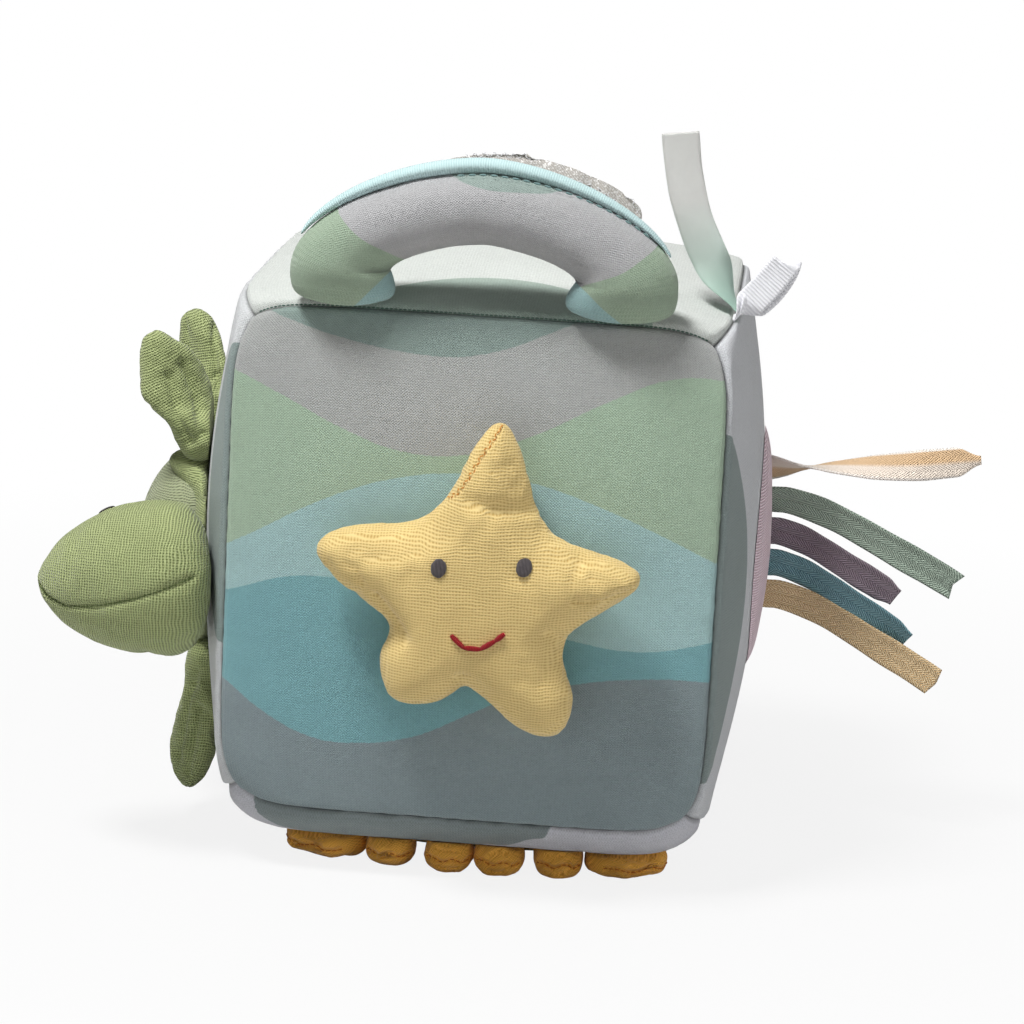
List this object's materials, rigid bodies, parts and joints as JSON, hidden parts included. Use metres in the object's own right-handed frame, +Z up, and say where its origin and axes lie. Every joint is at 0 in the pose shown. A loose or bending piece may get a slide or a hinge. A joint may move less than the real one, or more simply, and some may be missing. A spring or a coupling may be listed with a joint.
{
  "type": "soft fabric block",
  "caption": "Plump soft fabric block with a carrying handle and stuffed sea animals sewn to its sides: star, turtle, jellyfish with loose tapes and crab.",
  "frame": {"origin": "on the floor under the block's centre", "axes": "+Z up, the star's face towards -Y, +X towards the jellyfish's side"},
  "size_m": [0.2991, 0.1969, 0.2471],
  "materials": {
    "filling": "matt, soft filling",
    "printed_jersey": "matt knit jersey with printed wave fields",
    "pale_jersey": "matt knit jersey",
    "top_jersey": "matt knit jersey",
    "aqua_rib": "matt ribbed band",
    "yellow_gauze": "matt crinkled double gauze",
    "dark_thread": "satin embroidery thread",
    "red_thread": "satin embroidery thread",
    "green_gauze": "matt crinkled double gauze",
    "shell_cloth": "matt brushed cloth",
    "pink_rib": "soft ribbed knit",
    "cream_tape": "twill tape",
    "green_tape": "herringbone tape",
    "mauve_tape": "herringbone tape",
    "teal_tape": "herringbone tape",
    "yellow_tape": "herringbone tape",
    "ochre_gauze": "matt open knit gauze",
    "silver_quilting": "quilted cloth with silver flecks",
    "satin_tape": "white satin tape",
    "woven_tape": "white grosgrain tape"
  },
  "bodies": {
    "block": {"filling_core": "filling", "front_panel": "printed_jersey", "back_panel": "pale_jersey", "left_panel": "pale_jersey", "right_panel": "pale_jersey", "top_panel": "top_jersey", "bottom_panel": "pale_jersey", "turtle_body": "green_gauze", "turtle_shell": "shell_cloth", "jellyfish_bell": "pink_rib", "crab_body": "ochre_gauze", "crab_claw_left": "ochre_gauze", "crab_leg_outer_left": "ochre_gauze", "crab_leg_inner_left": "ochre_gauze", "crab_leg_inner_right": "ochre_gauze", "crab_leg_outer_right": "ochre_gauze", "crab_claw_right": "ochre_gauze"},
    "handle": {"handle": "printed_jersey", "handle_edge_strip": "aqua_rib"},
    "star": {"star_body": "yellow_gauze", "star_eye_left": "dark_thread", "star_eye_right": "dark_thread", "star_mouth": "red_thread"},
    "turtle_head": {"turtle_head": "green_gauze", "turtle_eye_upper": "dark_thread", "turtle_eye_lower": "dark_thread"},
    "turtle_flipper_front_upper": {"turtle_flipper_front_upper": "green_gauze"},
    "turtle_flipper_front_lower": {"turtle_flipper_front_lower": "green_gauze"},
    "turtle_flipper_rear_upper": {"turtle_flipper_rear_upper": "green_gauze"},
    "turtle_flipper_rear_lower": {"turtle_flipper_rear_lower": "green_gauze"},
    "jellyfish_tape_cream": {"jellyfish_tape_cream": "cream_tape"},
    "jellyfish_tape_green": {"jellyfish_tape_green": "green_tape"},
    "jellyfish_tape_mauve": {"jellyfish_tape_mauve": "mauve_tape"},
    "jellyfish_tape_teal": {"jellyfish_tape_teal": "teal_tape"},
    "jellyfish_tape_yellow": {"jellyfish_tape_yellow": "yellow_tape"},
    "shell_flap": {"shell_flap": "silver_quilting"},
    "care_label": {"care_label": "satin_tape"},
    "side_loop": {"side_loop": "woven_tape"}
  },
  "joints": [
    {"name": "handle_bend", "type": "hinge", "parent": "block", "child": "handle", "pos_m": [0, -0.08037, 0.19677], "axis": [1, 0, 0], "range_deg": [-40, 30], "stiffness_Nm_per_rad": 0.15},
    {"name": "star_turn", "type": "hinge", "parent": "block", "child": "star", "pos_m": [0.005, -0.09508, 0.0998], "axis": [0, -1, 0], "range_deg": [-12, 12], "stiffness_Nm_per_rad": 0.08},
    {"name": "turtle_head_turn", "type": "hinge", "parent": "block", "child": "turtle_head", "pos_m": [-0.09105, -0.048, 0.0908], "axis": [1, 0, 0], "range_deg": [-12, 12], "stiffness_Nm_per_rad": 0.15},
    {"name": "turtle_flipper_front_upper_bend", "type": "hinge", "parent": "block", "child": "turtle_flipper_front_upper", "pos_m": [-0.09465, -0.02364, 0.1282], "axis": [0, -0.9945, -0.1045], "range_deg": [-10, 45], "stiffness_Nm_per_rad": 0.03},
    {"name": "turtle_flipper_front_lower_bend", "type": "hinge", "parent": "block", "child": "turtle_flipper_front_lower", "pos_m": [-0.09141, -0.02364, 0.0534], "axis": [0, 0.9703, -0.2419], "range_deg": [-2, 60], "stiffness_Nm_per_rad": 0.03},
    {"name": "turtle_flipper_rear_upper_bend", "type": "hinge", "parent": "block", "child": "turtle_flipper_rear_upper", "pos_m": [-0.09556, 0.01676, 0.12259], "axis": [0, -0.9903, 0.1392], "range_deg": [-8, 55], "stiffness_Nm_per_rad": 0.03},
    {"name": "turtle_flipper_rear_lower_bend", "type": "hinge", "parent": "block", "child": "turtle_flipper_rear_lower", "pos_m": [-0.09278, 0.01676, 0.05901], "axis": [0, 0.9903, 0.1392], "range_deg": [-4, 60], "stiffness_Nm_per_rad": 0.03},
    {"name": "jellyfish_tape_cream_bend", "type": "hinge", "parent": "block", "child": "jellyfish_tape_cream", "pos_m": [0.0902, 0.0135, 0.1232], "axis": [0, 0, 1], "range_deg": [-25, 50], "stiffness_Nm_per_rad": 0.006},
    {"name": "jellyfish_tape_green_bend", "type": "hinge", "parent": "block", "child": "jellyfish_tape_green", "pos_m": [0.09046, 0.0135, 0.11235], "axis": [0, 0, 1], "range_deg": [-25, 50], "stiffness_Nm_per_rad": 0.006},
    {"name": "jellyfish_tape_mauve_bend", "type": "hinge", "parent": "block", "child": "jellyfish_tape_mauve", "pos_m": [0.09048, 0.0135, 0.1015], "axis": [0, 0, 1], "range_deg": [-25, 50], "stiffness_Nm_per_rad": 0.006},
    {"name": "jellyfish_tape_teal_bend", "type": "hinge", "parent": "block", "child": "jellyfish_tape_teal", "pos_m": [0.09042, 0.0135, 0.09065], "axis": [0, 0, 1], "range_deg": [-25, 50], "stiffness_Nm_per_rad": 0.006},
    {"name": "jellyfish_tape_yellow_bend", "type": "hinge", "parent": "block", "child": "jellyfish_tape_yellow", "pos_m": [0.09008, 0.0135, 0.0798], "axis": [0, 0, 1], "range_deg": [-25, 50], "stiffness_Nm_per_rad": 0.006},
    {"name": "shell_flap_bend", "type": "hinge", "parent": "block", "child": "shell_flap", "pos_m": [-0.006, 0.0798, 0.1891], "axis": [1, 0, 0], "range_deg": [-110, 45], "stiffness_Nm_per_rad": 0.06},
    {"name": "care_label_bend", "type": "hinge", "parent": "block", "child": "care_label", "pos_m": [0.07795, -0.05185, 0.18649], "axis": [0, 1, 0], "range_deg": [-15, 90], "stiffness_Nm_per_rad": 0.004},
    {"name": "side_loop_bend", "type": "hinge", "parent": "block", "child": "side_loop", "pos_m": [0.07583, -0.06302, 0.18568], "axis": [0, 1, 0], "range_deg": [-60, 45], "stiffness_Nm_per_rad": 0.003}
  ]
}
